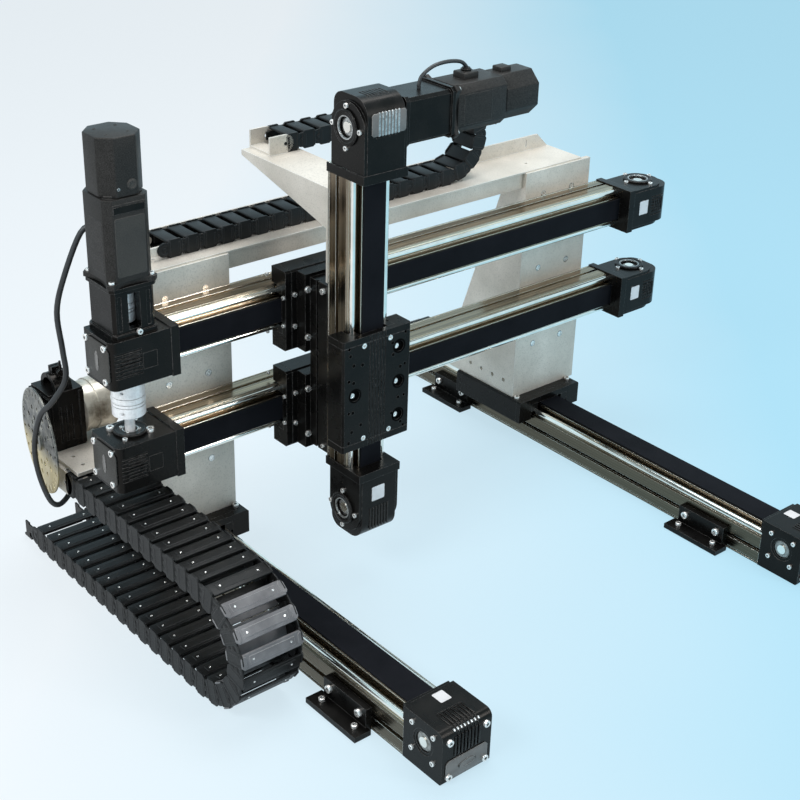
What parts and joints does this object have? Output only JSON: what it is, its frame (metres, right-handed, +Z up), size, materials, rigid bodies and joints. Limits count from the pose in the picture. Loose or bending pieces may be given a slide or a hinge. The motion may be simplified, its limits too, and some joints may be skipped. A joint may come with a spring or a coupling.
{
  "type": "three axis belt driven gantry",
  "caption": "Cartesian gantry of belt driven linear axes: paired floor rails, a bridge of stacked axes and an upright axis with a tool plate, servo motors and cable chains.",
  "frame": {"origin": "on the floor, at the centre of the foot clamps' bolt holes", "axes": "+X along the floor axes towards their front idler ends, +Y along the bridge towards its idler end, +Z up"},
  "size_m": [1.0852, 1.257, 0.8541],
  "materials": {
    "rail_metal": "champagne anodised extrusion, satin",
    "bright_shaft": "ground and polished steel",
    "screw_steel": "bright zinc socket screws",
    "belt_black": "matt black toothed belt",
    "black_metal": "black anodised, semi-gloss",
    "motor_black": "black enamel, lightly textured",
    "chain_black": "moulded black nylon",
    "plate_silver": "bead blasted aluminium plate",
    "worn_steel": "stained bare metal housing",
    "cable_black": "satin black sheath"
  },
  "bodies": {
    "base": {"x_profile_left": "rail_metal", "x_profile_right": "rail_metal", "x_guide_shafts": "bright_shaft", "x_belts": "belt_black", "x_drive_housing_left": "black_metal", "x_drive_housing_right": "black_metal", "x_idler_housings": "black_metal", "x_bearings": "bright_shaft", "foot_clamps": "black_metal", "base_screws": "screw_steel", "chain_anchor": "black_metal", "x_cable_chain": "chain_black"},
    "bridge": {"x_carriage_left": "black_metal", "x_carriage_right": "black_metal", "bracket_left": "plate_silver", "bracket_right": "plate_silver", "bridge_screws": "screw_steel", "y_profile_upper": "rail_metal", "y_profile_lower": "rail_metal", "y_guide_shafts": "bright_shaft", "y_belts": "belt_black", "y_drive_housing_upper": "black_metal", "y_drive_housing_lower": "black_metal", "y_idler_housings": "black_metal", "y_bearings": "bright_shaft", "y_motor_adapter": "black_metal", "y_motor": "motor_black", "y_motor_cable": "cable_black", "rear_extrusion": "plate_silver", "chain_tray": "plate_silver", "y_cable_chain": "chain_black", "chain_shelf": "plate_silver", "side_unit_box": "black_metal", "side_unit_motor": "worn_steel", "slotted_disc": "black_metal", "screw_clamp": "black_metal"},
    "saddle": {"y_carriage_upper": "black_metal", "y_carriage_lower": "black_metal", "z_mount_plate": "black_metal", "saddle_screws": "screw_steel", "z_profile": "rail_metal", "z_guide_shafts": "bright_shaft", "z_belt": "belt_black", "z_drive_housing": "black_metal", "z_idler_housing": "black_metal", "z_bearings": "bright_shaft", "z_motor_adapter": "black_metal", "z_motor": "motor_black", "z_chain_bracket": "plate_silver", "z_cable": "cable_black"},
    "tool": {"tool_carriage": "black_metal", "tool_screws": "screw_steel"},
    "x_drive_turning": {"x_drive_shaft": "bright_shaft"},
    "x_idler_left_turning": {"x_idler_left": "bright_shaft"},
    "x_idler_right_turning": {"x_idler_right": "bright_shaft"},
    "y_drive_turning": {"y_drive_shaft": "bright_shaft"},
    "y_idler_upper_turning": {"y_idler_upper": "bright_shaft"},
    "y_idler_lower_turning": {"y_idler_lower": "bright_shaft"},
    "z_drive_turning": {"z_drive_pulley": "bright_shaft"},
    "z_idler_turning": {"z_idler_pulley": "bright_shaft"}
  },
  "joints": [
    {"name": "x_slide", "type": "slide", "parent": "base", "child": "bridge", "axis": [1, 0, 0], "range_m": [-0.11, 0.545], "deforming": ["x_cable_chain"]},
    {"name": "y_slide", "type": "slide", "parent": "bridge", "child": "saddle", "axis": [0, 1, 0], "range_m": [-0.2, 0.63], "deforming": ["y_cable_chain"]},
    {"name": "z_slide", "type": "slide", "parent": "saddle", "child": "tool", "axis": [0, 0, 1], "range_m": [-0.04, 0.24]},
    {"name": "x_drive_spin", "type": "hinge", "parent": "base", "child": "x_drive_turning", "pos_m": [-0.4975, 0, 0.052], "axis": [0, 1, 0], "range_deg": [-430, 1500]},
    {"name": "x_idler_left_spin", "type": "hinge", "parent": "base", "child": "x_idler_left_turning", "pos_m": [0.4975, -0.4, 0.052], "axis": [0, 1, 0], "range_deg": [-430, 1500]},
    {"name": "x_idler_right_spin", "type": "hinge", "parent": "base", "child": "x_idler_right_turning", "pos_m": [0.4975, 0.4, 0.052], "axis": [0, 1, 0], "range_deg": [-430, 1500]},
    {"name": "y_drive_spin", "type": "hinge", "parent": "bridge", "child": "y_drive_turning", "pos_m": [-0.0928, -0.544, 0.37], "axis": [0, 0, 1], "range_deg": [-700, 2200]},
    {"name": "y_idler_upper_spin", "type": "hinge", "parent": "bridge", "child": "y_idler_upper_turning", "pos_m": [-0.0928, 0.58, 0.458], "axis": [0, 0, 1], "range_deg": [-700, 2200]},
    {"name": "y_idler_lower_spin", "type": "hinge", "parent": "bridge", "child": "y_idler_lower_turning", "pos_m": [-0.0928, 0.58, 0.283], "axis": [0, 0, 1], "range_deg": [-700, 2200]},
    {"name": "z_drive_spin", "type": "hinge", "parent": "saddle", "child": "z_drive_turning", "pos_m": [0.04989, -0.199, 0.784], "axis": [0, -1, 0], "range_deg": [-130, 800]},
    {"name": "z_idler_spin", "type": "hinge", "parent": "saddle", "child": "z_idler_turning", "pos_m": [0.04989, -0.199, 0.14], "axis": [0, -1, 0], "range_deg": [-130, 800]}
  ],
  "couplings": [
    {"joint": "x_drive_spin", "follows": "x_slide", "rad_per_m": 46.512},
    {"joint": "x_idler_left_spin", "follows": "x_slide", "rad_per_m": 46.512},
    {"joint": "x_idler_right_spin", "follows": "x_slide", "rad_per_m": 46.512},
    {"joint": "y_drive_spin", "follows": "y_slide", "rad_per_m": 54.72},
    {"joint": "y_idler_upper_spin", "follows": "y_slide", "rad_per_m": 54.72},
    {"joint": "y_idler_lower_spin", "follows": "y_slide", "rad_per_m": 54.72},
    {"joint": "z_drive_spin", "follows": "z_slide", "rad_per_m": 53.462},
    {"joint": "z_idler_spin", "follows": "z_slide", "rad_per_m": 53.462}
  ]
}
